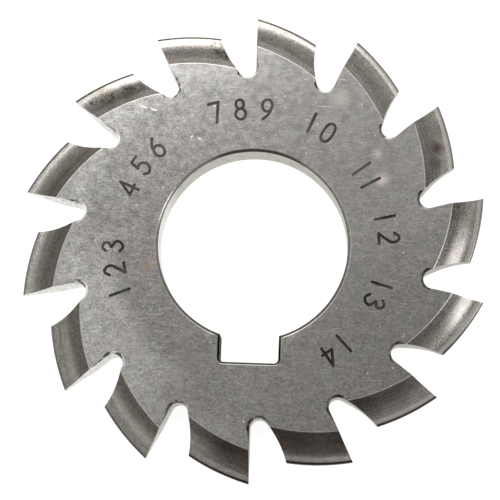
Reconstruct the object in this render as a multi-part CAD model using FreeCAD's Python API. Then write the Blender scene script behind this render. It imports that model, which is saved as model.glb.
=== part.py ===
import FreeCAD, Part
import math
import os

# Gear milling cutter: a disc of hardened steel with form-relieved teeth, all one piece.
# Frame: +Z along the axis, origin on the axis in the lower side face, keyway towards -Y.
# Seen from above, each tooth's cutting face is its anticlockwise end.
# Lengths are in millimetres and angles in degrees.

# Gear that the teeth are formed for
MODULE = 1.5
GEAR_TEETH = 21
PRESSURE_ANGLE = 20.0
DEPTH_OF_CUT = 3.3
TIP_CORNER_RADIUS = 0.45

# Disc and teeth
OUTSIDE_DIAMETER = 55.0
WIDTH = 5.2
TOOTH_COUNT = 14
RELIEF_FALL = 3.46  # how far the tooth's back falls in one pitch

# Gullets, from the cutting face round the nose and out along the back wall
GULLET_FLOOR_RADIUS = 20.0
GULLET_NOSE_RADIUS = 1.1
BACK_WALL_RADIUS = 13.0
BACK_WALL_ANGLE = 38.6  # between the back wall, where it leaves the nose, and the cutting face

# Bore and keyway
BORE_DIAMETER = 22.0
BORE_CHAMFER = 0.2
KEY_WIDTH = 6.8
KEY_FLOOR_RADIUS = 13.65
KEY_CORNER_RADIUS = 0.5
KEY_TO_FACE_ANGLE = 1.0  # from the keyway's middle anticlockwise to the first cutting face

# Making the cuts
OVERCUT = 0.6  # how far a cut runs out past the metal
CORNER_FLATS = 3  # short flats that make up each rounded tip corner
INVOLUTE_POINTS = 5
RELIEF_SECTIONS = 5
RELIEF_LEAD_ANGLE = 1.5  # the relief starts this far ahead of the cutting face
RELIEF_STOP_ANGLE = 3.5  # and ends this far short of the next one

TIP_RADIUS = OUTSIDE_DIAMETER / 2
PITCH_ANGLE = 360 / TOOTH_COUNT

ORIGIN = FreeCAD.Vector(0, 0, 0)
AXIS = FreeCAD.Vector(0, 0, 1)


def involute(angle):
    """Involute function of an angle in radians."""
    return math.tan(angle) - angle


def flank_at(gear_radius):
    """Half width, depth below the tip and lean, in radians, of the form at a radius of the gear."""
    pressure_angle = math.radians(PRESSURE_ANGLE)
    pitch_radius = MODULE * GEAR_TEETH / 2
    root_radius = pitch_radius + MODULE - DEPTH_OF_CUT
    local_angle = math.acos(min(1, pitch_radius * math.cos(pressure_angle) / gear_radius))
    half_space = math.pi / (2 * GEAR_TEETH) - involute(pressure_angle) + involute(local_angle)
    half_width = gear_radius * math.sin(half_space)
    depth = gear_radius * math.cos(half_space) - root_radius
    return half_width, depth, half_space + local_angle


def form_side(side):
    """Edges of one side of the form in the cutting face, from the tip's flat to past the side face."""
    def spot(half_width, depth):
        return FreeCAD.Vector(0, TIP_RADIUS - depth, WIDTH / 2 + side * half_width)

    def slope(lean):
        return FreeCAD.Vector(0, -math.cos(lean), side * math.sin(lean))

    gear_tip_radius = MODULE * (GEAR_TEETH + 2) / 2
    base_radius = MODULE * GEAR_TEETH / 2 * math.cos(math.radians(PRESSURE_ANGLE))
    start_radius = max(base_radius, gear_tip_radius - DEPTH_OF_CUT + TIP_CORNER_RADIUS)

    # Rounded corner between the tip's flat and the straight lower flank
    start_width, start_depth, start_lean = flank_at(start_radius)
    sharp_corner = start_width - start_depth * math.tan(start_lean)
    full_turn = math.pi / 2 - start_lean
    centre_width = sharp_corner - TIP_CORNER_RADIUS * math.tan(full_turn / 2)
    corner = []
    for step in range(CORNER_FLATS + 1):
        turn = full_turn * step / CORNER_FLATS
        half_width = centre_width + TIP_CORNER_RADIUS * math.sin(turn)
        corner.append(spot(half_width, TIP_CORNER_RADIUS * (1 - math.cos(turn))))

    # Involute flank, with its points closer together towards the base circle
    points = []
    for step in range(INVOLUTE_POINTS):
        share = (step / (INVOLUTE_POINTS - 1)) ** 2
        half_width, depth, lean = flank_at(start_radius + (gear_tip_radius - start_radius) * share)
        points.append(spot(half_width, depth))
    flank = Part.BSplineCurve()
    flank.interpolate(Points=points, InitialTangent=slope(start_lean), FinalTangent=slope(lean))

    # Straight run-out from the involute to past the side face
    end_width = max(WIDTH / 2, half_width) + OVERCUT
    run_out_end = spot(end_width, depth + (end_width - half_width) / math.tan(lean))

    lower_flank = Part.makePolygon(corner + [points[0]])
    run_out = Part.makeLine(points[-1], run_out_end)
    return lower_flank.Edges + [flank.toShape(), run_out]


def relief_cut():
    """What is relieved outside one tooth, lofted through the same outline as it turns and sinks."""
    upper = form_side(1)
    lower = form_side(-1)
    past_tip = FreeCAD.Vector(0, RELIEF_FALL + OVERCUT, 0)
    upper_end = upper[-1].Vertexes[-1].Point
    lower_end = lower[-1].Vertexes[-1].Point
    upper_corner = FreeCAD.Vector(0, TIP_RADIUS, upper_end.z) + past_tip
    lower_corner = FreeCAD.Vector(0, TIP_RADIUS, lower_end.z) + past_tip
    outline = Part.Wire(Part.__sortEdges__(
        upper
        + lower
        + [
            Part.makeLine(upper[0].Vertexes[0].Point, lower[0].Vertexes[0].Point),
            Part.makeLine(upper_end, upper_corner),
            Part.makeLine(upper_corner, lower_corner),
            Part.makeLine(lower_corner, lower_end),
        ]
    ))
    sections = []
    sweep_angle = RELIEF_LEAD_ANGLE + PITCH_ANGLE - RELIEF_STOP_ANGLE
    for step in range(RELIEF_SECTIONS):
        angle = sweep_angle * step / (RELIEF_SECTIONS - 1) - RELIEF_LEAD_ANGLE
        section = outline.copy()
        section.translate(FreeCAD.Vector(0, -RELIEF_FALL * angle / PITCH_ANGLE, 0))
        section.rotate(ORIGIN, AXIS, -angle)
        sections.append(section)
    return Part.makeLoft(sections, True)


def gullet_cut():
    """The space ahead of a cutting face that lies along +Y."""
    nose = FreeCAD.Vector(-GULLET_NOSE_RADIUS, GULLET_FLOOR_RADIUS + GULLET_NOSE_RADIUS, 0)
    turn = math.radians(BACK_WALL_ANGLE)
    outward = FreeCAD.Vector(-math.cos(turn), -math.sin(turn), 0)
    wall_start = nose + outward * GULLET_NOSE_RADIUS
    wall_centre = wall_start - outward * BACK_WALL_RADIUS
    half_way = FreeCAD.Vector(-math.cos(turn / 2), -math.sin(turn / 2), 0)
    wall_middle = wall_centre + half_way * BACK_WALL_RADIUS
    wall_end = wall_centre - FreeCAD.Vector(BACK_WALL_RADIUS, 0, 0)
    mouth = max(TIP_RADIUS, wall_end.y) + OVERCUT
    face_foot = FreeCAD.Vector(0, nose.y, 0)
    face_top = FreeCAD.Vector(0, mouth, 0)
    wall_top = FreeCAD.Vector(wall_end.x, mouth, 0)
    nose_low = nose - FreeCAD.Vector(0, GULLET_NOSE_RADIUS, 0)
    outline = Part.Wire([
        Part.makeLine(face_top, face_foot),
        Part.Arc(face_foot, nose_low, wall_start).toShape(),
        Part.Arc(wall_start, wall_middle, wall_end).toShape(),
        Part.makeLine(wall_end, wall_top),
        Part.makeLine(wall_top, face_top),
    ])
    return through_cut(outline)


def through_cut(outline):
    """A prism on a flat outline, through both side faces."""
    prism = Part.Face(outline).extrude(AXIS * (WIDTH + 2 * OVERCUT))
    prism.translate(AXIS * -OVERCUT)
    return prism


def bore_cut():
    """The bore, opened out at each side face by its chamfer."""
    radius = BORE_DIAMETER / 2
    flare = radius + BORE_CHAMFER + OVERCUT
    outline = Part.makePolygon([
        FreeCAD.Vector(0, 0, -OVERCUT),
        FreeCAD.Vector(flare, 0, -OVERCUT),
        FreeCAD.Vector(radius, 0, BORE_CHAMFER),
        FreeCAD.Vector(radius, 0, WIDTH - BORE_CHAMFER),
        FreeCAD.Vector(flare, 0, WIDTH + OVERCUT),
        FreeCAD.Vector(0, 0, WIDTH + OVERCUT),
        FreeCAD.Vector(0, 0, -OVERCUT),
    ])
    return Part.Face(outline).revolve(ORIGIN, AXIS, 360)


def keyway_cut():
    """The keyway from the bore out to its floor, with rounded floor corners."""
    half = KEY_WIDTH / 2
    inner = half - KEY_CORNER_RADIUS
    shoulder = KEY_FLOOR_RADIUS - KEY_CORNER_RADIUS
    bulge = KEY_CORNER_RADIUS * math.sqrt(0.5)

    def corner(side):
        return Part.Arc(
            FreeCAD.Vector(side * half, -shoulder, 0),
            FreeCAD.Vector(side * (inner + bulge), -shoulder - bulge, 0),
            FreeCAD.Vector(side * inner, -KEY_FLOOR_RADIUS, 0),
        ).toShape()

    def line(start_x, start_y, end_x, end_y):
        return Part.makeLine(FreeCAD.Vector(start_x, start_y, 0), FreeCAD.Vector(end_x, end_y, 0))

    outline = Part.Wire(Part.__sortEdges__([
        corner(1),
        corner(-1),
        line(inner, -KEY_FLOOR_RADIUS, -inner, -KEY_FLOOR_RADIUS),
        line(half, -shoulder, half, 0),
        line(half, 0, -half, 0),
        line(-half, 0, -half, -shoulder),
    ]))
    return through_cut(outline)


def patterned(cut):
    """One copy of a cut for each tooth, the first at the keyway."""
    copies = []
    for tooth in range(TOOTH_COUNT):
        copy = cut.copy()
        copy.rotate(ORIGIN, AXIS, 180 + KEY_TO_FACE_ANGLE + tooth * PITCH_ANGLE)
        copies.append(copy)
    return copies


def gear_cutter():
    """The whole cutter."""
    disc = Part.makeCylinder(TIP_RADIUS + OVERCUT / 2, WIDTH)
    cuts = [bore_cut(), keyway_cut()] + patterned(gullet_cut()) + patterned(relief_cut())
    return disc.cut(cuts)


os.makedirs("parts", exist_ok=True)
cutter = gear_cutter()
cutter.exportStep("parts/gear_milling_cutter.step")
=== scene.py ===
import math
import bmesh
import bpy
from mathutils import Matrix, Vector


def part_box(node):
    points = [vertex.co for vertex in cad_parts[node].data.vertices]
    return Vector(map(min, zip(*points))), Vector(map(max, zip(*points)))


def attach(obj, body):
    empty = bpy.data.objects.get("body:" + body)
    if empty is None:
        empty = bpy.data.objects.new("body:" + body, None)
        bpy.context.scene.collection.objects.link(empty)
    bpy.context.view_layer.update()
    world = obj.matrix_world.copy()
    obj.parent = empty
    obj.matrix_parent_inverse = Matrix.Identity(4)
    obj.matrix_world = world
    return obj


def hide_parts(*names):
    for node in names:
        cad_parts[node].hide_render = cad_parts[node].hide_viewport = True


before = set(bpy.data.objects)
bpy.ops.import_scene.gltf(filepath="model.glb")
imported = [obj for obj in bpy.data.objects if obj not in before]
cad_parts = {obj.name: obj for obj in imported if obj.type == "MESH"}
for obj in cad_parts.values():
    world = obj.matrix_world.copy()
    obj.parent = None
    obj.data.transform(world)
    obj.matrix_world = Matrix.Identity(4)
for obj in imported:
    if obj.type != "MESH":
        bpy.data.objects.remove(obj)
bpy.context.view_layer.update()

# The cutter's sizes, in millimetres and degrees. Meshes are scaled to metres as they are made.
MM = 0.001
NODE = "gear_milling_cutter"

# Gear that the teeth are formed for
MODULE = 1.5
GEAR_TEETH = 21
PRESSURE_ANGLE = 20.0
DEPTH_OF_CUT = 3.3
TIP_CORNER_RADIUS = 0.45

# Disc and teeth
WIDTH = round((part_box(NODE)[1][2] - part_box(NODE)[0][2]) / MM, 3)
TIP_RADIUS = 27.5
TOOTH_COUNT = 14
PITCH_ANGLE = 360 / TOOTH_COUNT
RELIEF_FALL = 3.46
SHOULDER_ROUNDING = 0.19

# Gullets
GULLET_FLOOR_RADIUS = 20.0
GULLET_NOSE_RADIUS = 1.1
BACK_WALL_RADIUS = 13.0
BACK_WALL_ANGLE = 38.6
GULLET_EDGE_BREAK = 0.32  # width of the broken edge round the nose, which runs out towards both shoulders
GULLET_EDGE_SLOPE = 1.5

# Bore and keyway
BORE_RADIUS = 11.0
BORE_CHAMFER = 0.2
BORE_EDGE_ROUNDING = 0.28  # between the chamfer and the side face
KEY_WIDTH = 6.8
KEY_FLOOR_RADIUS = 13.65
KEY_CORNER_RADIUS = 0.5
KEY_EDGE_SHARE = 0.8  # size of the keyway's broken edge beside the bore's
KEY_TO_FACE_ANGLE = 1.0

# Steps along each curve of the mesh
FLANK_STEPS = 14
TOOTH_STEPS = 12
ROUND_STEPS = 5
WALL_STEPS = 8
NOSE_STEPS = 12
FACE_STEPS = 5
BORE_STEPS = 144
HEEL_HALVINGS = 40  # of the range in which a heel's angle is sought
MERGE_DISTANCE = 1e-4
SHARP_ANGLE = 25

# Material of each kind of face
SIDE, FLANK, SHOULDER, GULLET, BORE, EDGE = range(6)


# Tooth form

def involute(angle):
    """Involute function of an angle in radians."""
    return math.tan(angle) - angle


def flank_at(gear_radius):
    """Half width, depth below the tip and lean, in radians, of the form at a radius of the gear."""
    pressure_angle = math.radians(PRESSURE_ANGLE)
    pitch_radius = MODULE * GEAR_TEETH / 2
    root_radius = pitch_radius + MODULE - DEPTH_OF_CUT
    local_angle = math.acos(min(1, pitch_radius * math.cos(pressure_angle) / gear_radius))
    half_space = math.pi / (2 * GEAR_TEETH) - involute(pressure_angle) + involute(local_angle)
    half_width = gear_radius * math.sin(half_space)
    depth = gear_radius * math.cos(half_space) - root_radius
    return half_width, depth, half_space + local_angle


def form_profile():
    """Points of depth below the tip and half width, from the side face to the tip's flat."""
    gear_tip_radius = MODULE * (GEAR_TEETH + 2) / 2
    base_radius = MODULE * GEAR_TEETH / 2 * math.cos(math.radians(PRESSURE_ANGLE))

    # Shoulder, where the flank's straight run-out meets the side face in a small rounding
    outer_width, outer_depth, outer_lean = flank_at(gear_tip_radius)
    shoulder_depth = outer_depth + (WIDTH / 2 - outer_width) / math.tan(outer_lean)
    round_start = shoulder_depth + SHOULDER_ROUNDING * math.tan(outer_lean / 2)
    profile = []
    for step in range(ROUND_STEPS + 1):
        turn = outer_lean * step / ROUND_STEPS
        sunk = SHOULDER_ROUNDING * (1 - math.cos(turn))
        profile.append((round_start - SHOULDER_ROUNDING * math.sin(turn), WIDTH / 2 - sunk))

    # Involute, with its points closer together towards the base circle
    for step in range(FLANK_STEPS, -1, -1):
        gear_radius = base_radius + (gear_tip_radius - base_radius) * (step / FLANK_STEPS) ** 2
        half_width, depth, lean = flank_at(gear_radius)
        profile.append((depth, half_width))

    # Straight lower flank and rounded corner
    sharp_corner = half_width - depth * math.tan(lean)
    full_turn = math.pi / 2 - lean
    centre_width = sharp_corner - TIP_CORNER_RADIUS * math.tan(full_turn / 2)
    for step in range(ROUND_STEPS, -1, -1):
        turn = full_turn * step / ROUND_STEPS
        half_width = centre_width + TIP_CORNER_RADIUS * math.sin(turn)
        profile.append((TIP_CORNER_RADIUS * (1 - math.cos(turn)), half_width))
    return profile


def relief_radius(depth, behind):
    """Radius of the relieved form at a depth, at an angle behind the cutting face."""
    return TIP_RADIUS - depth - RELIEF_FALL * behind / PITCH_ANGLE


# Gullets

def towards(angle):
    """Direction in the side face at an angle in radians, anticlockwise from +X."""
    return Vector((math.cos(angle), math.sin(angle), 0))


def polar(radius, behind):
    """A point at a radius and an angle, in degrees, clockwise from a cutting face along +Y."""
    return towards(math.radians(90 - behind)) * radius


def gullet_centres():
    """Centres of the nose and of the back wall, in the gullet ahead of a cutting face along +Y."""
    nose = Vector((-GULLET_NOSE_RADIUS, GULLET_FLOOR_RADIUS + GULLET_NOSE_RADIUS, 0))
    outward = towards(math.radians(180 + BACK_WALL_ANGLE))
    return nose, nose + outward * (GULLET_NOSE_RADIUS - BACK_WALL_RADIUS)


def heel_angle(depth):
    """Angle behind the cutting face at which the form at a depth meets the next gullet's back wall."""
    centre = gullet_centres()[1]
    low, high = 0.0, PITCH_ANGLE
    for _ in range(HEEL_HALVINGS):
        middle = (low + high) / 2
        point = polar(relief_radius(depth, middle), middle - PITCH_ANGLE)
        if (point - centre).length > BACK_WALL_RADIUS:
            low = middle
        else:
            high = middle
    return low


def gullet_outline(shoulder_depth):
    """Rows round a gullet: point, direction into the metal, and share of the full edge break.

    They run from the shoulder at the back wall, round the nose, to the shoulder at the cutting face.
    """
    nose, centre = gullet_centres()
    heel = heel_angle(shoulder_depth)
    top = polar(relief_radius(shoulder_depth, heel), heel - PITCH_ANGLE)
    top_turn = math.asin((centre.y - top.y) / BACK_WALL_RADIUS)
    turn = math.radians(BACK_WALL_ANGLE)
    rows = []
    for step in range(WALL_STEPS + 1):
        outward = towards(math.pi + top_turn + (turn - top_turn) * step / WALL_STEPS)
        rows.append((centre + outward * BACK_WALL_RADIUS, outward, (step / WALL_STEPS) ** 2))
    for step in range(1, NOSE_STEPS + 1):
        outward = towards(math.pi + turn + (math.pi - turn) * step / NOSE_STEPS)
        rows.append((nose + outward * GULLET_NOSE_RADIUS, outward, 1))
    face_length = TIP_RADIUS - shoulder_depth - nose.y
    for step in range(1, FACE_STEPS + 1):
        share = step / FACE_STEPS
        rows.append((Vector((0, nose.y + face_length * share, 0)), towards(0), (1 - share) ** 2))
    return rows


# Mesh of the cutter

def add_strip(mesh, first, second, material):
    """Quads between two rows of points."""
    low = [mesh.verts.new(point) for point in first]
    high = [mesh.verts.new(point) for point in second]
    for step in range(len(low) - 1):
        face = mesh.faces.new((low[step], low[step + 1], high[step + 1], high[step]))
        face.material_index = material


def at_height(points, height):
    """Copies of points at one height."""
    return [Vector((point.x, point.y, height)) for point in points]


def tooth_row(depth, half_width, side, turn):
    """Points from the cutting face back to the heel, at one place of the form."""
    heel = heel_angle(depth)
    points = []
    for step in range(TOOTH_STEPS + 1):
        behind = heel * step / TOOTH_STEPS
        point = polar(relief_radius(depth, behind), behind)
        point.z = WIDTH / 2 + side * half_width
        points.append(turn @ point)
    return points


def add_tooth(mesh, turn):
    """One tooth: its flanks and tip, its cutting face and its heel."""
    profile = form_profile()
    upper = [tooth_row(depth, half_width, 1, turn) for depth, half_width in profile]
    lower = [tooth_row(depth, half_width, -1, turn) for depth, half_width in profile]
    for place in range(len(profile) - 1):
        material = SHOULDER if place < ROUND_STEPS else FLANK
        add_strip(mesh, upper[place], upper[place + 1], material)
        add_strip(mesh, lower[place + 1], lower[place], material)
    add_strip(mesh, upper[-1], lower[-1], FLANK)
    add_strip(mesh, [row[0] for row in upper], [row[0] for row in lower], GULLET)
    add_strip(mesh, [row[-1] for row in lower], [row[-1] for row in upper], GULLET)


def add_gullet(mesh, turn):
    """The gullet ahead of a cutting face, with the broken edge of the upper side face."""
    rows = gullet_outline(form_profile()[0][0])
    rim, brink, foot = [], [], []
    for point, outward, share in rows:
        width = GULLET_EDGE_BREAK * share
        rim.append(turn @ (point + outward * width + Vector((0, 0, WIDTH))))
        brink.append(turn @ (point + Vector((0, 0, WIDTH - width * GULLET_EDGE_SLOPE))))
        foot.append(turn @ point)
    add_strip(mesh, rim, brink, GULLET)
    add_strip(mesh, brink, foot, GULLET)


def bore_outline(back):
    """Outline of the bore and keyway, standing back from their walls by a length."""
    radius = BORE_RADIUS + back
    key_back = back * KEY_EDGE_SHARE
    half = KEY_WIDTH / 2 + key_back
    start = math.asin(half / radius) - math.pi / 2
    sweep = 2 * math.pi - 2 * math.asin(half / radius)
    points = [towards(start + sweep * step / BORE_STEPS) * radius for step in range(BORE_STEPS + 1)]
    for side, first_angle in ((-1, 180), (1, 270)):
        across = side * (KEY_WIDTH / 2 - KEY_CORNER_RADIUS)
        centre = Vector((across, KEY_CORNER_RADIUS - KEY_FLOOR_RADIUS, 0))
        for step in range(ROUND_STEPS + 1):
            outward = towards(math.radians(first_angle + 90 * step / ROUND_STEPS))
            points.append(centre + outward * (KEY_CORNER_RADIUS + key_back))
    return points + points[:1]


def edge_rows():
    """How far back and how deep each row of the bore's edge lies, from the side face to the wall."""
    full_lean = math.radians(45)
    rows = []
    for step in range(ROUND_STEPS + 1):
        lean = full_lean * step / ROUND_STEPS
        back = BORE_CHAMFER + BORE_EDGE_ROUNDING * (math.sin(full_lean) - math.sin(lean))
        rows.append((back, BORE_EDGE_ROUNDING * (1 - math.cos(lean))))
    return rows + [(0, rows[-1][1] + BORE_CHAMFER)]


def add_bore(mesh):
    """The bore and keyway, with their broken edges at both side faces."""
    upper = [at_height(bore_outline(back), WIDTH - deep) for back, deep in edge_rows()]
    lower = [at_height(bore_outline(back), deep) for back, deep in edge_rows()]
    for place in range(len(upper) - 1):
        add_strip(mesh, upper[place], upper[place + 1], EDGE)
        add_strip(mesh, lower[place + 1], lower[place], EDGE)
    add_strip(mesh, upper[-1], lower[-1], BORE)


def add_side_faces(mesh):
    """The two flat faces between the bore and the teeth."""
    for height in (0, WIDTH):
        rim = [
            edge for edge in mesh.edges
            if edge.is_boundary and all(abs(vert.co.z - height) < MERGE_DISTANCE for vert in edge.verts)
        ]
        filled = bmesh.ops.triangle_fill(mesh, use_beauty=True, use_dissolve=False, edges=rim)
        for item in filled["geom"]:
            if isinstance(item, bmesh.types.BMFace):
                item.material_index = SIDE


def cutter_mesh():
    """The whole cutter as one closed mesh, in metres."""
    mesh = bmesh.new()
    for tooth in range(TOOTH_COUNT):
        turn = Matrix.Rotation(math.radians(180 + KEY_TO_FACE_ANGLE + tooth * PITCH_ANGLE), 3, "Z")
        add_tooth(mesh, turn)
        add_gullet(mesh, turn)
    add_bore(mesh)
    bmesh.ops.remove_doubles(mesh, verts=mesh.verts, dist=MERGE_DISTANCE)
    add_side_faces(mesh)
    bmesh.ops.recalc_face_normals(mesh, faces=mesh.faces)
    mesh.transform(Matrix.Scale(MM, 4))
    data = bpy.data.meshes.new("cutter")
    mesh.to_mesh(data)
    mesh.free()
    return data


# Numbers marked on the upper face

GLYPH_HEIGHT = 2.35
GLYPH_WIDTH = 1.3
STROKE_RADIUS = 0.19
STROKE_RISE = 0.08

# Each digit is a list of strokes in a cell one wide and one high. A line goes straight from point to
# point, a curve passes smoothly through its points, and a ring is an ellipse: centre, then half sizes.
DIGITS = {
    "0": [("ring", (0.5, 0.5), (0.45, 0.5))],
    "1": [("line", (0.5, 1), (0.5, 0))],
    "2": [
        ("curve", (0.05, 0.78), (0.46, 1), (0.88, 0.72), (0.56, 0.36), (0.02, 0)),
        ("line", (0.02, 0), (0.95, 0)),
    ],
    "3": [
        ("curve", (0.08, 0.86), (0.47, 1), (0.84, 0.77), (0.42, 0.56)),
        ("curve", (0.42, 0.56), (0.93, 0.28), (0.46, 0), (0.03, 0.15)),
    ],
    "4": [("line", (0.72, 0), (0.72, 1), (0, 0.3), (1, 0.3))],
    "5": [
        ("line", (0.88, 1), (0.2, 1), (0.12, 0.56)),
        ("curve", (0.12, 0.56), (0.5, 0.63), (0.93, 0.32), (0.46, 0), (0.03, 0.14)),
    ],
    "6": [("ring", (0.5, 0.3), (0.45, 0.3)), ("curve", (0.78, 1), (0.3, 0.72), (0.05, 0.3))],
    "7": [("line", (0.04, 1), (0.95, 1), (0.35, 0))],
    "8": [("ring", (0.5, 0.77), (0.35, 0.23)), ("ring", (0.5, 0.27), (0.46, 0.27))],
    "9": [("ring", (0.5, 0.7), (0.45, 0.3)), ("curve", (0.22, 0), (0.7, 0.28), (0.95, 0.7))],
}

# The numbers one to fourteen read clockwise round the bore: digit, ring radius and angle from +X
NUMBERS = [
    ("1", 16.3, -158.2),
    ("2", 16.25, -167.9),
    ("3", 16.24, -177.5),
    ("4", 15.95, 157.2),
    ("5", 16.0, 146.4),
    ("6", 16.05, 136.6),
    ("7", 16.2, 107.6),
    ("8", 16.05, 97.4),
    ("9", 16.05, 86.2),
    ("1", 15.9, 66.5),
    ("0", 15.8, 58.4),
    ("1", 15.45, 37.2),
    ("1", 15.45, 29.9),
    ("1", 15.6, 13.6),
    ("2", 15.75, 4.6),
    ("1", 15.6, -15.6),
    ("3", 15.5, -23.6),
    ("1", 15.5, -45.6),
    ("4", 15.6, -53.6),
]


def stroke_runs(stroke):
    """Control points of each run of a stroke, and whether the run is a closed ring."""
    kind, *points = stroke
    if kind == "line":
        return [list(pair) for pair in zip(points, points[1:])], False
    if kind == "curve":
        return [points], False
    centre, half = points
    corners = ((1, 0), (0, 1), (-1, 0), (0, -1))
    return [[(centre[0] + x * half[0], centre[1] + y * half[1]) for x, y in corners]], True


def glyph_point(x, y, radius, angle):
    """A point of a digit's cell, just above the upper face, in metres."""
    outward = towards(math.radians(angle))
    across = Vector((outward.y, -outward.x, 0))
    place = outward * (radius + (y - 0.5) * GLYPH_HEIGHT) + across * (x - 0.5) * GLYPH_WIDTH
    return (place + Vector((0, 0, WIDTH + STROKE_RISE))) * MM


def stroke_tubes():
    """The strokes of all the numbers as round tubes, and the points at which open strokes end."""
    curve = bpy.data.curves.new("number_strokes", "CURVE")
    curve.dimensions = "3D"
    curve.bevel_depth = STROKE_RADIUS * MM
    curve.bevel_resolution = 3
    curve.resolution_u = 8
    curve.use_fill_caps = True
    ends = []
    for digit, radius, angle in NUMBERS:
        for stroke in DIGITS[digit]:
            runs, closed = stroke_runs(stroke)
            for run in runs:
                knots = [glyph_point(x, y, radius, angle) for x, y in run]
                spline = curve.splines.new("BEZIER")
                spline.bezier_points.add(len(knots) - 1)
                spline.use_cyclic_u = closed
                for bezier_point, knot in zip(spline.bezier_points, knots):
                    bezier_point.co = knot
                    bezier_point.handle_left_type = "AUTO"
                    bezier_point.handle_right_type = "AUTO"
                if not closed:
                    ends += [knots[0], knots[-1]]
    return curve, ends


def engraving():
    """The cutting tool of all the numbers: tubes half sunk in the upper face, with round ends."""
    curve, ends = stroke_tubes()
    tubes = bpy.data.objects.new("number_strokes", curve)
    bpy.context.scene.collection.objects.link(tubes)
    mesh = bmesh.new()
    mesh.from_mesh(tubes.to_mesh())
    bpy.data.objects.remove(tubes)
    for end in ends:
        place = Matrix.Translation(end)
        bmesh.ops.create_icosphere(mesh, subdivisions=2, radius=STROKE_RADIUS * MM, matrix=place)
    data = bpy.data.meshes.new("number_strokes")
    mesh.to_mesh(data)
    mesh.free()
    tool = bpy.data.objects.new("number_strokes", data)
    bpy.context.scene.collection.objects.link(tool)
    return tool


def engrave(cutter):
    """Cuts the numbers into the cutter, with dark residue in their strokes."""
    strokes = engraving()
    strokes.data.materials.append(stroke_residue())
    cut = cutter.modifiers.new("numbers", "BOOLEAN")
    cut.operation = "DIFFERENCE"
    cut.solver = "EXACT"
    cut.use_self = True
    cut.material_mode = "TRANSFER"
    cut.object = strokes
    bpy.context.view_layer.update()
    evaluated = cutter.evaluated_get(bpy.context.evaluated_depsgraph_get())
    data = bpy.data.meshes.new_from_object(evaluated)
    cutter.modifiers.clear()
    cutter.data = data
    bpy.data.objects.remove(strokes)


# Materials

BLACK = (0, 0, 0, 1)
WHITE = (1, 1, 1, 1)
# Painted sheen on the side face
SHEEN_STEEL = (0.66, 0.655, 0.64, 1)
# Brown tint, laid on at the left of the flanks as painted shade
BROWN_TINT_AND_SHADE = (0.13, 0.11, 0.09, 1)
GULLET_BLACK = (0.03, 0.027, 0.022, 1)
KEYWAY_BLACK = (0.03, 0.028, 0.024, 1)
LOOSE_GRAINS = (0.05, 0.043, 0.03, 1)
BUMP_DEPTH = 0.02  # at full strength


def add(tree, kind, inputs=None, **settings):
    """A shader node with its settings, and its inputs set or linked."""
    made = tree.nodes.new("ShaderNode" + kind)
    for name, value in settings.items():
        setattr(made, name, value)
    for key, value in (inputs or {}).items():
        if isinstance(value, bpy.types.NodeSocket):
            tree.links.new(value, made.inputs[key])
        else:
            made.inputs[key].default_value = value
    return made


def math_node(tree, operation, first, second=0.5, clamp=False):
    """Result of a sum on one or two values."""
    return add(tree, "Math", {0: first, 1: second}, operation=operation, use_clamp=clamp).outputs[0]


def product(tree, first, second):
    """Two values multiplied."""
    return math_node(tree, "MULTIPLY", first, second)


def either(tree, first, second):
    """The larger of two values."""
    return math_node(tree, "MAXIMUM", first, second)


def mix_colour(tree, factor, first, second, blend="MIX"):
    """Two colours mixed."""
    made = add(tree, "Mix", {0: factor, 6: first, 7: second}, data_type="RGBA", blend_type=blend)
    return made.outputs[2]


def noise(tree, place, scale, detail=2.0, roughness=0.5):
    """A noise value at a scale in cells per millimetre."""
    inputs = {"Vector": place, "Scale": scale, "Detail": detail, "Roughness": roughness}
    return add(tree, "TexNoise", inputs).outputs["Fac"]


def ramp(tree, value, low, high, first=0.0, last=1.0):
    """A value carried smoothly from one range to another, and held past its ends."""
    inputs = {0: value, 1: low, 2: high, 3: first, 4: last}
    return add(tree, "MapRange", inputs, interpolation_type="SMOOTHSTEP").outputs[0]


def new_material(name):
    """An empty material, its tree, and its surface coordinates in millimetres."""
    material = bpy.data.materials.new(name)
    material.use_nodes = True
    tree = material.node_tree
    tree.nodes.clear()
    coordinates = add(tree, "TexCoord")
    place = add(tree, "VectorMath", {0: coordinates.outputs["Object"], 3: 1 / MM}, operation="SCALE")
    return material, tree, place.outputs[0]


def finish_material(tree, colour, roughness, height, bump, metallic=1.0, glance=WHITE):
    """The surface shader, with bump from a height value. Glance tints its light at a glancing angle."""
    inputs = {"Base Color": colour, "Roughness": roughness, "Metallic": metallic, "Specular Tint": glance}
    surface = add(tree, "BsdfPrincipled", inputs)
    made = add(tree, "Bump", {"Height": height, "Strength": bump, "Distance": BUMP_DEPTH * MM})
    tree.links.new(made.outputs[0], surface.inputs["Normal"])
    add(tree, "OutputMaterial", {0: surface.outputs[0]})


def part_of(tree, place, axis):
    """One coordinate of a place: 0, 1 or 2."""
    return add(tree, "SeparateXYZ", {0: place}).outputs[axis]


def flat_distance(tree, place, x, y):
    """Distance in millimetres from the upright line through a point of the side face."""
    flat = add(tree, "CombineXYZ", {0: part_of(tree, place, 0), 1: part_of(tree, place, 1)}).outputs[0]
    return add(tree, "VectorMath", {0: flat, 1: (x, y, 0)}, operation="DISTANCE").outputs["Value"]


def spot(tree, place, x, y, far, near, strength=1.0):
    """A strength round a point of the side face, fading from a near distance to zero at a far one."""
    return ramp(tree, flat_distance(tree, place, x, y), far, near, 0.0, strength)


def share_along(tree, direction, azimuth):
    """How far a direction points along one in the side face, in degrees anticlockwise from +X."""
    inputs = {0: direction, 1: towards(math.radians(azimuth))}
    return add(tree, "VectorMath", inputs, operation="DOT_PRODUCT").outputs["Value"]


def off_middle(tree, place):
    """Distance in millimetres from the plane half way through the disc."""
    return math_node(tree, "ABSOLUTE", math_node(tree, "SUBTRACT", part_of(tree, place, 2), WIDTH / 2))


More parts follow.
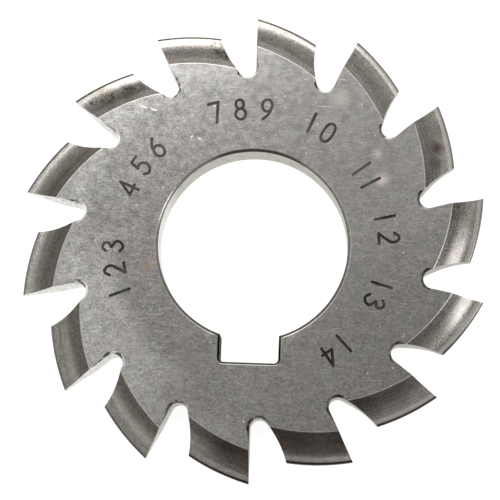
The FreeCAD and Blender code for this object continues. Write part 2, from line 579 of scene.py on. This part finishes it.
def stretched(tree, place, turn, along, across):
    """Surface coordinates turned and squeezed, for marks that run along one direction."""
    return add(tree, "Mapping", {0: place, 2: (0, 0, math.radians(turn)), 3: (along, across, 1)}).outputs[0]


def scratches(tree, place, turn, threshold):
    """Fine short scratches along one direction."""
    streaks = noise(tree, stretched(tree, place, turn, 0.3, 9.0), 1.0, 1.0)
    return ramp(tree, streaks, threshold, threshold + 0.06)


def patched_with_stains_and_light(tree, place, colour, patches):
    """A colour with soft ragged patches laid over it, stains and painted light and shade: place and radius,
    colour and strength of each.
    """
    rough_edge = noise(tree, place, 2.2, 5.0, 0.8)
    for (x, y, radius), patch_colour, strength in patches:
        reach = math_node(tree, "ADD", flat_distance(tree, place, x, y), product(tree, rough_edge, radius))
        mask = ramp(tree, reach, radius * 1.5, radius * 0.5, 0.0, strength)
        colour = mix_colour(tree, mask, colour, patch_colour)
    return colour


def grained(tree, place, colour, patches):
    """A colour with dark grains scattered over patches: place and radius of each."""
    grains = ramp(tree, noise(tree, place, 2.2, 4.0, 0.8), 0.5, 0.57)
    for x, y, radius in patches:
        mask = spot(tree, place, x, y, radius * 1.4, radius * 0.6, 0.8)
        colour = mix_colour(tree, product(tree, mask, grains), colour, LOOSE_GRAINS)
    return colour


def long_mark(tree, place, x, y, turn, half_length):
    """Strength of a narrow streak across the side face, fading to zero round it."""
    inputs = {0: place, 1: (x, y, WIDTH), 2: (0, 0, math.radians(turn)), 3: (half_length, 0.09, 1)}
    local = add(tree, "Mapping", inputs, vector_type="TEXTURE").outputs[0]
    reach = add(tree, "VectorMath", {0: local}, operation="LENGTH").outputs["Value"]
    return ramp(tree, reach, 1.3, 0.6, 0.0, 0.85)


def nearest_mark(tree, place, marks):
    """Distance in millimetres from the edge of the nearest of some round marks, negative inside it."""
    nearest = 100.0
    for x, y, z, radius in marks:
        reach = add(tree, "VectorMath", {0: place, 1: (x, y, z)}, operation="DISTANCE").outputs["Value"]
        nearest = math_node(tree, "MINIMUM", math_node(tree, "SUBTRACT", reach, radius), nearest)
    return nearest


# Marks on the side face: place and radius of each patch, its colour and its strength
FACE_PATCHES = [
    ((14.7, 8.1, 1.3), (0.62, 0.54, 0.51, 1), 0.7),
    ((14.1, 11.1, 0.9), (0.54, 0.52, 0.46, 1), 0.5),
    ((9.6, 17.6, 1.6), (0.46, 0.45, 0.38, 1), 0.5),
    ((-6.9, 20.0, 0.7), (0.46, 0.37, 0.38, 1), 0.6),
    ((-11.9, -2.8, 1.0), (0.42, 0.30, 0.21, 1), 0.6),
    ((-7.3, -17.2, 0.7), (0.40, 0.28, 0.29, 1), 0.6),
    ((-3.0, -19.8, 0.6), (0.41, 0.30, 0.31, 1), 0.6),
    ((-9.3, -17.5, 1.4), (0.23, 0.21, 0.19, 1), 0.35),
    ((-8.6, -12.2, 1.2), (0.25, 0.225, 0.20, 1), 0.5),
    ((-12.4, -14.9, 0.2), (0.04, 0.032, 0.028, 1), 0.8),
]

# Bright scratches on the side face: middle, direction anticlockwise from +X, and half length
FACE_SCRATCHES = [
    (-13.4, 15.9, -16, 0.5),
    (-12.2, 15.6, -14, 0.45),
    (-7.6, 12.5, 62, 0.2),
    (-6.7, 12.3, -20, 0.25),
]


def face_colour(tree, place):
    """Broad colour of the side face: greenish to pinkish grey, with painted shade and painted sheen at the
    left and painted shade at the right.
    """
    tint = ramp(tree, noise(tree, place, 0.45, 3.0, 0.6), 0.38, 0.62)
    colour = mix_colour(tree, tint, (0.296, 0.294, 0.277, 1), (0.309, 0.289, 0.280, 1))
    radius = flat_distance(tree, place, 0, 0)

    # Painted shade in a ring round the bore at the left, and painted sheen outside it, along the rim at the
    # left and at the bottom
    left_side = spot(tree, place, -11.5, 8.0, 18.0, 6.0)
    inner_ring_shade = product(tree, ramp(tree, radius, 16.2, 13.8, 0.0, 0.23), left_side)
    colour = mix_colour(tree, inner_ring_shade, colour, (0.2, 0.175, 0.15, 1))
    lower_left = spot(tree, place, -16.5, -11.0, 14.0, 5.0)
    outer_ring = product(tree, ramp(tree, radius, 15.0, 18.0, 0.0, 0.5), lower_left)
    colour = mix_colour(tree, outer_ring, colour, SHEEN_STEEL)
    leftwards = ramp(tree, part_of(tree, place, 0), 6.0, -10.0)
    outer_rim_sheen = product(tree, ramp(tree, radius, 18.5, 21.5, 0.0, 0.3), leftwards)
    colour = mix_colour(tree, outer_rim_sheen, colour, SHEEN_STEEL)
    lowest = spot(tree, place, -1.0, -19.0, 8.0, 2.0, 0.08)
    colour = mix_colour(tree, lowest, colour, SHEEN_STEEL)

    # Painted shade: darker at the right
    upper_right = spot(tree, place, 10.0, 13.0, 17.0, 4.0, 0.19)
    lower_right = spot(tree, place, 18.0, -6.0, 15.0, 5.0, 0.12)
    return mix_colour(tree, either(tree, upper_right, lower_right), colour, BLACK)


def ground_face():
    """Ground side face: mottled grey steel with faint tints, fine grain, specks, scratches and stains."""
    material, tree, place = new_material("ground_face")
    mottle = noise(tree, place, 1.1, 4.0, 0.65)
    grain = noise(tree, place, 3.4, 4.0, 0.75)
    lay = noise(tree, stretched(tree, place, 4, 0.6, 7.0), 1.0, 3.0, 0.6)
    outer_left = ramp(tree, flat_distance(tree, place, -14.0, 16.0), 34.0, 12.0, 0.10, 0.22)
    mottle_share = product(tree, ramp(tree, mottle, 0.3, 0.7, -1.0, 1.0), outer_left)
    shade = math_node(tree, "ADD", mottle_share, 1.0)
    shade = product(tree, shade, ramp(tree, grain, 0.25, 0.75, 0.75, 1.25))
    shade = product(tree, shade, ramp(tree, lay, 0.25, 0.75, 0.92, 1.08))
    fine_grain = ramp(tree, noise(tree, place, 6.5, 3.0, 0.8), 0.25, 0.75, -1.0, 1.0)
    upper_left = ramp(tree, flat_distance(tree, place, -18.0, 5.0), 30.0, 8.0, 0.1, 0.45)
    shade = product(tree, shade, math_node(tree, "ADD", product(tree, fine_grain, upper_left), 1.0))
    colour = mix_colour(tree, 1.0, face_colour(tree, place), shade, "MULTIPLY")
    colour = patched_with_stains_and_light(tree, place, colour, FACE_PATCHES)
    for x, y, turn, half_length in FACE_SCRATCHES:
        mask = long_mark(tree, place, x, y, turn, half_length)
        colour = mix_colour(tree, mask, colour, (0.85, 0.85, 0.82, 1))

    # Bright specks and scratches
    coarse_specks = ramp(tree, noise(tree, place, 1.5, 2.0, 0.5), 0.71, 0.75)
    fine_specks = ramp(tree, noise(tree, place, 3.2, 2.0, 0.5), 0.72, 0.77)
    bright = either(tree, coarse_specks, fine_specks)
    lines = either(tree, scratches(tree, place, 3, 0.71), scratches(tree, place, -14, 0.73))
    bright = either(tree, bright, product(tree, lines, 0.7))
    colour = mix_colour(tree, product(tree, bright, 0.55), colour, (0.8, 0.8, 0.77, 1))

    height = math_node(tree, "ADD", grain, product(tree, lay, 0.5))
    finish_material(tree, colour, ramp(tree, grain, 0.3, 0.7, 0.27, 0.37), height, 0.6)
    return material


# Patches on the flanks, as for the side face: stains, and in the last five, each as wide as a tooth,
# painted shade where dark and painted highlights where bright
FLANK_PATCHES = [
    ((21.1, 12.3, 1.2), (0.14, 0.085, 0.07, 1), 0.85),
    ((21.0, 10.4, 1.1), (0.19, 0.14, 0.12, 1), 0.65),
    ((23.6, 5.4, 0.35), (0.10, 0.07, 0.03, 1), 0.8),
    ((25.4, 3.5, 1.0), (0.36, 0.27, 0.16, 1), 0.5),
    ((24.0, 4.6, 0.9), (0.30, 0.24, 0.15, 1), 0.4),
    ((1.2, 24.8, 0.35), (0.2, 0.11, 0.09, 1), 0.7),
    ((11.1, 23.2, 0.3), (0.13, 0.08, 0.07, 1), 0.8),
    ((12.1, 22.8, 0.5), (0.34, 0.24, 0.21, 1), 0.5),
    ((-4.9, 23.0, 0.8), (0.10, 0.09, 0.06, 1), 0.7),
    ((-4.3, 24.0, 0.6), (0.13, 0.11, 0.08, 1), 0.65),
    ((-15.2, 17.6, 1.9), (0.13, 0.11, 0.07, 1), 0.65),
    ((-17.4, 16.2, 2.0), (0.15, 0.13, 0.09, 1), 0.6),
    ((-18.8, 17.8, 1.5), (0.20, 0.18, 0.13, 1), 0.4),
    # Painted shade and painted highlights over whole teeth
    ((22.2, 14.8, 2.6), (0.22, 0.215, 0.18, 1), 0.6),
    ((24.3, -7.9, 2.5), (0.80, 0.78, 0.75, 1), 0.5),
    ((17.0, -16.2, 2.4), (0.16, 0.14, 0.12, 1), 0.4),
    ((-2.0, -23.4, 2.6), (0.12, 0.11, 0.10, 1), 0.5),
    ((8.6, -22.6, 2.6), (0.70, 0.67, 0.63, 1), 0.4),
]

# Dark grains on the flanks: middle and radius of each patch
FLANK_GRAINS = [
    (-19.6, 16.5, 0.8),
    (-17.8, 17.2, 1.1),
    (-15.7, 17.9, 1.0),
    (-14.3, 18.2, 0.8),
    (-5.3, 23.7, 0.8),
    (-4.4, 23.0, 0.7),
    (-3.8, 22.4, 0.5),
    (23.0, 4.6, 0.6),
]


def turning_marks(tree, place):
    """Noise drawn out along the tooth."""
    across = add(tree, "CombineXYZ", {0: product(tree, off_middle(tree, place), 9.0)}).outputs[0]
    drift = add(tree, "VectorMath", {0: place, 3: 0.12}, operation="SCALE").outputs[0]
    squeezed = add(tree, "VectorMath", {0: across, 1: drift}, operation="ADD").outputs[0]
    return noise(tree, squeezed, 1.0, 2.0, 0.6)


def flank_colour(tree, place, away):
    """Broad colour of the flanks: painted shade darkens them towards the shoulder, brownish and most at the
    left; painted light brightens the tips at the left and the teeth at the top.
    """
    # Painted shade: darker towards the shoulder
    outward = ramp(tree, away, 0.8, 2.3)
    colour = mix_colour(tree, outward, (0.48, 0.46, 0.43, 1), (0.33, 0.30, 0.268, 1))
    # Painted shade, brownish, at the left and more at the upper left
    left_side = product(tree, spot(tree, place, -24.0, 6.0, 18.0, 8.0, 0.3), outward)
    colour = mix_colour(tree, left_side, colour, BROWN_TINT_AND_SHADE)
    upper_left = product(tree, spot(tree, place, -20.0, 10.0, 16.0, 7.0, 0.55), ramp(tree, away, 1.4, 1.9))
    colour = mix_colour(tree, upper_left, colour, BROWN_TINT_AND_SHADE)
    # Painted highlight near the tips at the left
    tip_sheen = product(tree, spot(tree, place, -26.0, 3.0, 14.0, 9.0, 0.65), ramp(tree, away, 1.05, 0.92))
    colour = mix_colour(tree, tip_sheen, colour, (0.85, 0.82, 0.77, 1))
    # Painted light on the teeth at the top
    top_side = ramp(tree, part_of(tree, place, 1), 6.0, 20.0, 0.0, 0.55)
    return mix_colour(tree, top_side, colour, (0.52, 0.49, 0.45, 1))


def tip_lines(tree, place, away, colour):
    """A colour with painted lines of light and shade round the tip's corners laid over it."""
    # Painted highlight: a bright line inside the corners at the right
    rightwards = ramp(tree, part_of(tree, place, 0), 4.0, 20.0, 0.0, 0.6)
    corner_glint = product(tree, ramp(tree, away, 0.89, 0.872), rightwards)
    colour = mix_colour(tree, corner_glint, colour, (0.85, 0.84, 0.81, 1))

    # Painted shade: a dark line round the corners, fainter towards the top, and a darker land between them
    land = ramp(tree, away, 0.5, 0.4)
    corner = math_node(tree, "SUBTRACT", ramp(tree, away, 0.865, 0.79), land, True)
    dark_stretch = spot(tree, place, -20.0, 18.0, 20.0, 8.0, 0.7)
    upwards = ramp(tree, flat_distance(tree, place, 9.0, -26.0), 15.0, 36.0)
    faded = math_node(tree, "SUBTRACT", upwards, dark_stretch, True)
    line_colour = mix_colour(tree, faded, (0.03, 0.027, 0.024, 1), (0.13, 0.12, 0.108, 1))
    strength = math_node(tree, "SUBTRACT", 0.95, product(tree, faded, 0.25))
    colour = mix_colour(tree, product(tree, corner, strength), colour, line_colour)
    return mix_colour(tree, product(tree, land, 0.5), colour, (0.16, 0.15, 0.135, 1))


def relieved_flank():
    """Relieved flank: granular steel with fine lines along the tooth, stains and loose grains."""
    material, tree, place = new_material("relieved_flank")
    away = off_middle(tree, place)
    grain = noise(tree, place, 5.0, 3.0, 0.75)
    blotch = noise(tree, place, 1.3, 3.0, 0.6)
    marks = turning_marks(tree, place)
    shade = product(tree, ramp(tree, grain, 0.25, 0.75, 0.68, 1.3), ramp(tree, marks, 0.3, 0.7, 0.88, 1.1))
    shade = product(tree, shade, ramp(tree, blotch, 0.3, 0.7, 0.9, 1.1))
    colour = mix_colour(tree, 1.0, flank_colour(tree, place, away), shade, "MULTIPLY")
    colour = patched_with_stains_and_light(tree, place, colour, FLANK_PATCHES)
    colour = grained(tree, place, colour, FLANK_GRAINS)
    colour = tip_lines(tree, place, away, colour)
    height = math_node(tree, "ADD", grain, product(tree, marks, 0.3))
    finish_material(tree, colour, ramp(tree, grain, 0.3, 0.7, 0.2, 0.3), height, 0.4)
    return material


def shoulder_wear_and_sheen():
    """Shoulder between flank and side face, bright along its rounding: a worn edge, made brighter still as
    a painted highlight.
    """
    material, tree, place = new_material("shoulder_wear_and_sheen")
    grain = noise(tree, place, 4.0, 3.0, 0.6)
    colour = mix_colour(tree, ramp(tree, grain, 0.3, 0.7), (0.66, 0.65, 0.62, 1), (0.92, 0.91, 0.88, 1))
    finish_material(tree, colour, 0.33, grain, 0.15)
    return material


# Black marks in the gullets: centre and radius of each spot
GULLET_MARKS = [
    (0.8, -20.8, 4.9, 0.25),
    (10.3, -17.2, 5.1, 0.35),
    (9.9, -17.4, 5.1, 0.2),
    (11.6, -17.7, 5.1, 0.25),
    (12.7, -18.5, 0.3, 0.18),
    (13.1, -18.8, 0.3, 0.18),
    (10.5, -20.9, 5.0, 0.22),
    (10.7, -21.4, 5.0, 0.25),
    (16.6, -11.3, 5.1, 0.25),
    (17.0, -11.0, 5.1, 0.22),
    (17.6, -10.9, 5.1, 0.17),
    (19.7, -11.2, 4.5, 0.18),
    (20.8, -2.1, 5.1, 0.17),
    (21.3, -1.9, 5.1, 0.17),
    (20.0, -2.8, 4.6, 0.22),
    (19.7, -3.5, 5.0, 0.32),
    (19.9, -4.0, 5.0, 0.3),
    (20.4, -4.3, 5.0, 0.18),
    (19.6, 7.1, 5.0, 0.17),
    (19.2, 6.5, 5.0, 0.22),
    (19.1, 5.9, 5.0, 0.32),
    (19.3, 5.4, 5.0, 0.26),
    (14.6, 14.4, 5.0, 0.24),
    (14.6, 13.9, 5.0, 0.26),
    (14.8, 13.4, 5.0, 0.26),
    (6.6, 19.8, 5.0, 0.14),
    (6.8, 19.2, 5.0, 0.16),
    (-9.8, 19.3, 5.0, 0.18),
    (-9.6, 18.6, 5.0, 0.3),
    (-9.5, 18.0, 5.0, 0.36),
    (-9.7, 17.4, 5.0, 0.25),
    (-17.9, 13.5, 4.0, 0.16),
    (-22.4, 4.6, 4.0, 0.19),
    (-21.0, 4.2, 4.0, 0.25),
    (-20.5, 4.0, 4.8, 0.14),
    (-20.6, -5.5, 3.6, 0.25),
    (-20.2, -5.3, 3.8, 0.25),
    (-19.5, -5.3, 4.6, 0.42),
    (-19.9, -5.6, 5.0, 0.3),
    (-17.6, -14.6, 4.9, 0.26),
    (-17.0, -14.2, 4.9, 0.28),
    (-16.3, -13.8, 5.0, 0.25),
    (-16.1, -13.7, 3.4, 0.25),
    (-15.0, -13.4, 4.9, 0.4),
    (-14.7, -13.5, 4.9, 0.2),
    (-8.1, -18.7, 0.8, 0.22),
    (-8.6, -18.8, 5.0, 0.15),
    (-7.3, -18.7, 3.0, 0.2),
]


# Azimuth that the darkened gullet rims face, in degrees anticlockwise from +X
DARK_RIM_AZIMUTH = -37


def milled_gullet():
    """Gullet walls: steel with ground streaks, pale at the left and on the broken edge as painted
    reflections, and black marks, mostly round the noses.
    """
    material, tree, place = new_material("milled_gullet")
    grain = noise(tree, place, 3.0, 3.0, 0.7)
    colour = mix_colour(tree, ramp(tree, grain, 0.3, 0.7), (0.27, 0.26, 0.23, 1), (0.52, 0.51, 0.47, 1))
    # Painted reflection: walls at the left made pale
    left_side = ramp(tree, part_of(tree, place, 0), -6.0, -16.0, 0.0, 0.88)
    colour = mix_colour(tree, left_side, colour, (0.90, 0.895, 0.85, 1))
    streaks = noise(tree, add(tree, "Mapping", {0: place, 3: (5, 5, 0.5)}).outputs[0], 1.0, 3.0, 0.6)
    colour = mix_colour(tree, 1.0, colour, ramp(tree, streaks, 0.3, 0.7, 0.66, 1.04), "MULTIPLY")

    # Broken edge: bright as a painted reflection, but darker and dashed with black where it faces one way
    edge_foot = WIDTH - GULLET_EDGE_BREAK * GULLET_EDGE_SLOPE
    rim = ramp(tree, part_of(tree, place, 2), edge_foot - 0.08, edge_foot + 0.06)
    facing = share_along(tree, add(tree, "TexCoord").outputs["Normal"], DARK_RIM_AZIMUTH)
    bright_rim_sheen = product(tree, rim, ramp(tree, facing, 0.1, -0.3, 0.0, 0.85))
    colour = mix_colour(tree, bright_rim_sheen, colour, (0.90, 0.89, 0.86, 1))
    darkened_rim = product(tree, rim, ramp(tree, facing, 0.0, 0.4, 0.0, 0.6))
    darkened_rim = math_node(tree, "SUBTRACT", darkened_rim, left_side, True)
    colour = mix_colour(tree, darkened_rim, colour, (0.15, 0.14, 0.12, 1))
    dark_facing_rim = product(tree, rim, ramp(tree, facing, 0.0, 0.3))
    broken_up = ramp(tree, noise(tree, place, 0.9, 3.0, 0.6), 0.49, 0.55, 0.0, 0.85)
    dashes = product(tree, dark_facing_rim, broken_up)

    # Black marks with ragged edges, and fine spots
    ragged = product(tree, grain, 0.6)
    reach = math_node(tree, "ADD", nearest_mark(tree, place, GULLET_MARKS), ragged)
    blackening = ramp(tree, reach, 0.46, 0.31, 0.0, 0.94)
    spots = ramp(tree, noise(tree, place, 1.4, 3.0, 0.6), 0.64, 0.72, 0.0, 0.6)
    dark = either(tree, either(tree, blackening, spots), dashes)
    colour = mix_colour(tree, dark, colour, GULLET_BLACK)
    finish_material(tree, colour, ramp(tree, grain, 0.3, 0.7, 0.3, 0.45), grain, 0.3)
    return material


def in_keyway(tree, place):
    """One in the keyway and zero in the bore."""
    return ramp(tree, part_of(tree, place, 1), -10.3, -10.8)


def bored_wall():
    """Bore: smooth steel, faintly green, with brown spots, paler at the left as a painted reflection. The
    keyway is black.
    """
    material, tree, place = new_material("bored_wall")
    grain = noise(tree, place, 2.5, 3.0, 0.6)
    colour = mix_colour(tree, ramp(tree, grain, 0.3, 0.7), (0.30, 0.29, 0.235, 1), (0.385, 0.375, 0.315, 1))
    # Painted reflection: paler towards the left
    left_side = ramp(tree, part_of(tree, place, 0), -8.5, -10.8, 0.0, 0.6)
    colour = mix_colour(tree, left_side, colour, (0.8, 0.8, 0.77, 1))
    near_edge = ramp(tree, part_of(tree, place, 2), 3.2, 4.9, 0.0, 0.06)
    dotted = math_node(tree, "ADD", noise(tree, place, 1.1, 3.0, 0.6), near_edge)
    colour = mix_colour(tree, ramp(tree, dotted, 0.59, 0.67, 0.0, 0.7), colour, (0.09, 0.075, 0.05, 1))
    keyway = in_keyway(tree, place)
    colour = mix_colour(tree, product(tree, keyway, 0.93), colour, KEYWAY_BLACK)
    glance = mix_colour(tree, keyway, WHITE, (0.02, 0.02, 0.02, 1))
    finish_material(tree, colour, ramp(tree, grain, 0.3, 0.7, 0.26, 0.36), grain, 0.15, glance=glance)
    return material


def broken_edge():
    """Broken edge of the bore, bright and smooth, with painted shade on its lower half. In the keyway all
    but its rim is black.
    """
    material, tree, place = new_material("broken_edge")
    grain = noise(tree, place, 3.0, 3.0, 0.6)
    colour = mix_colour(tree, ramp(tree, grain, 0.3, 0.7), (0.52, 0.51, 0.48, 1), (0.72, 0.71, 0.68, 1))
    # Painted shade: darker towards the bottom
    lower_part = ramp(tree, part_of(tree, place, 1), 0.0, -6.0, 0.0, 0.55)
    colour = mix_colour(tree, lower_part, colour, (0.22, 0.21, 0.19, 1))
    sunk = math_node(tree, "SUBTRACT", WIDTH / 2, off_middle(tree, place))
    ragged = product(tree, noise(tree, place, 1.8, 2.0), 0.05)
    blackening = ramp(tree, math_node(tree, "ADD", sunk, ragged), 0.03, 0.07)
    blackening = product(tree, blackening, product(tree, in_keyway(tree, place), 0.93))
    colour = mix_colour(tree, blackening, colour, KEYWAY_BLACK)
    finish_material(tree, colour, 0.2, grain, 0.15)
    return material


def stroke_residue():
    """Dark residue in the engraved strokes, fainter towards the top and the left of the disc."""
    material, tree, place = new_material("stroke_residue")
    upwards = ramp(tree, part_of(tree, place, 1), -4.0, 16.0, 0.0, 0.5)
    leftwards = ramp(tree, part_of(tree, place, 0), 2.0, -16.0, 0.0, 0.25)
    uneven = ramp(tree, noise(tree, place, 0.5, 3.0), 0.35, 0.65, -0.1, 0.5)
    faded = math_node(tree, "ADD", math_node(tree, "ADD", upwards, leftwards), uneven, True)
    colour = mix_colour(tree, faded, (0.022, 0.02, 0.017, 1), (0.17, 0.16, 0.148, 1))
    finish_material(tree, colour, 0.6, noise(tree, place, 8.0), 0.3, metallic=0.4)
    return material


# Stage

FLOOR_HALF_SIZE = 1.5
FLOOR_GLOW = 0.9
CENTRE = Vector((0, 0, WIDTH / 2)) * MM

# Camera, as turned from looking straight down at the middle of the disc
VIEW_ROLL = -1.90
VIEW_PITCH = -8.37
VIEW_YAW = -1.84
VIEW_OFFSET = (0.401, 0.242)
VIEW_DISTANCE = 209.8
LENS = 129.05


def add_camera():
    """The camera at the photograph's viewing angle."""
    data = bpy.data.cameras.new("camera")
    data.lens = LENS
    data.sensor_width = 36
    data.clip_start = 0.01
    camera = bpy.data.objects.new("camera", data)
    turn = (
        Matrix.Rotation(math.radians(VIEW_YAW), 4, "Y")
        @ Matrix.Rotation(math.radians(VIEW_PITCH), 4, "X")
        @ Matrix.Rotation(math.radians(VIEW_ROLL), 4, "Z")
    )
    back = Matrix.Translation(Vector((-VIEW_OFFSET[0], -VIEW_OFFSET[1], VIEW_DISTANCE)) * MM)
    camera.matrix_world = Matrix.Translation(CENTRE) @ turn.inverted() @ back
    bpy.context.scene.collection.objects.link(camera)
    bpy.context.scene.camera = camera


def add_lamp(name, azimuth, tilt, distance, size, radiance):
    """A soft rectangular lamp aimed at the cutter.

    It stands at an azimuth anticlockwise of +X and a tilt from straight above. Its size is its width
    and its height, in metres, and its height runs from the zenith downwards.
    """
    data = bpy.data.lights.new(name, "AREA")
    data.shape = "RECTANGLE"
    data.size, data.size_y = size
    data.energy = radiance * math.pi * size[0] * size[1]
    lamp = bpy.data.objects.new(name, data)
    direction = towards(math.radians(azimuth)) * math.sin(math.radians(tilt))
    direction.z = math.cos(math.radians(tilt))
    lamp.location = CENTRE + direction * distance
    lamp.rotation_euler = direction.to_track_quat("Z", "Y").to_euler()
    bpy.context.scene.collection.objects.link(lamp)


def floor_material():
    """Matt white with a pale glow, seen by the camera and, near the cutter, in reflections."""
    material, tree, place = new_material("floor")
    rays = add(tree, "LightPath").outputs
    near = ramp(tree, flat_distance(tree, place, 0, 0), 120.0, 40.0, 0.2, 1.0)
    seen = either(tree, rays["Is Camera Ray"], product(tree, rays["Is Glossy Ray"], near))
    seen = either(tree, seen, rays["Is Transmission Ray"])
    glow = add(tree, "Emission", {"Color": WHITE, "Strength": product(tree, seen, FLOOR_GLOW)})
    matt = add(tree, "BsdfDiffuse", {"Color": (0.6, 0.6, 0.6, 1)})
    both = add(tree, "AddShader", {0: glow.outputs[0], 1: matt.outputs[0]})
    add(tree, "OutputMaterial", {0: both.outputs[0]})
    return material


def add_floor():
    """A plain white floor."""
    data = bpy.data.meshes.new("floor")
    half = FLOOR_HALF_SIZE
    corners = [(-half, -half, 0), (half, -half, 0), (half, half, 0), (-half, half, 0)]
    data.from_pydata(corners, [], [(0, 1, 2, 3)])
    data.materials.append(floor_material())
    floor = bpy.data.objects.new("floor", data)
    bpy.context.scene.collection.objects.link(floor)


# Azimuths of the surround, in degrees anticlockwise from +X
PHOTOGRAPHER_AZIMUTH = -94
ASIDE_AZIMUTH = PHOTOGRAPHER_AZIMUTH + 90
GLOW_AZIMUTH = 214


def add_world():
    """A soft grey surround with a low glow at the left, darkest where the photographer stands."""
    world = bpy.data.worlds.new("world")
    world.use_nodes = True
    tree = world.node_tree
    direction = add(tree, "TexCoord").outputs["Generated"]
    near = share_along(tree, direction, PHOTOGRAPHER_AZIMUTH)
    aside = math_node(tree, "ABSOLUTE", share_along(tree, direction, ASIDE_AZIMUTH))
    off_wedge = math_node(tree, "SUBTRACT", aside, product(tree, near, 0.62))
    photographer = product(tree, ramp(tree, near, 0.05, 0.7), ramp(tree, off_wedge, 0.1, -0.12))
    upright = part_of(tree, direction, 2)
    level = ramp(tree, near, -0.9, 0.1, 0.60, 0.40)
    level = product(tree, level, ramp(tree, upright, 0.15, 0.75, 0.55, 1.0))
    glow = ramp(tree, share_along(tree, direction, GLOW_AZIMUTH), 0.56, 0.78)
    glow = product(tree, glow, ramp(tree, upright, 0.15, 0.5))
    level = product(tree, level, ramp(tree, glow, 0.0, 1.0, 1.0, 1.75))
    level = product(tree, level, ramp(tree, photographer, 0.0, 1.0, 1.0, 0.28))
    tint = mix_colour(tree, photographer, (1.0, 0.98, 0.95, 1), (1.0, 0.88, 0.82, 1))
    tree.links.new(tint, tree.nodes["Background"].inputs["Color"])
    tree.links.new(level, tree.nodes["Background"].inputs["Strength"])
    bpy.context.scene.world = world


# Assembly

cutter = bpy.data.objects.new("cutter", cutter_mesh())
bpy.context.scene.collection.objects.link(cutter)
for make_material in (ground_face, relieved_flank, shoulder_wear_and_sheen, milled_gullet, bored_wall, broken_edge):
    cutter.data.materials.append(make_material())
engrave(cutter)
smooth = [polygon.material_index != SIDE for polygon in cutter.data.polygons]
cutter.data.polygons.foreach_set("use_smooth", smooth)
cutter.data.set_sharp_from_angle(angle=math.radians(SHARP_ANGLE))
weighted = cutter.modifiers.new("weighted_normals", "WEIGHTED_NORMAL")
weighted.keep_sharp = True
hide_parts(NODE)
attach(cutter, "root")

add_camera()
add_floor()
add_world()
add_lamp("key", azimuth=100, tilt=33.5, distance=0.45, size=(0.205, 0.32), radiance=2.4)
add_lamp("side", azimuth=-14, tilt=59, distance=0.5, size=(0.16, 0.25), radiance=2.4)

bpy.context.scene.view_settings.view_transform = "Standard"
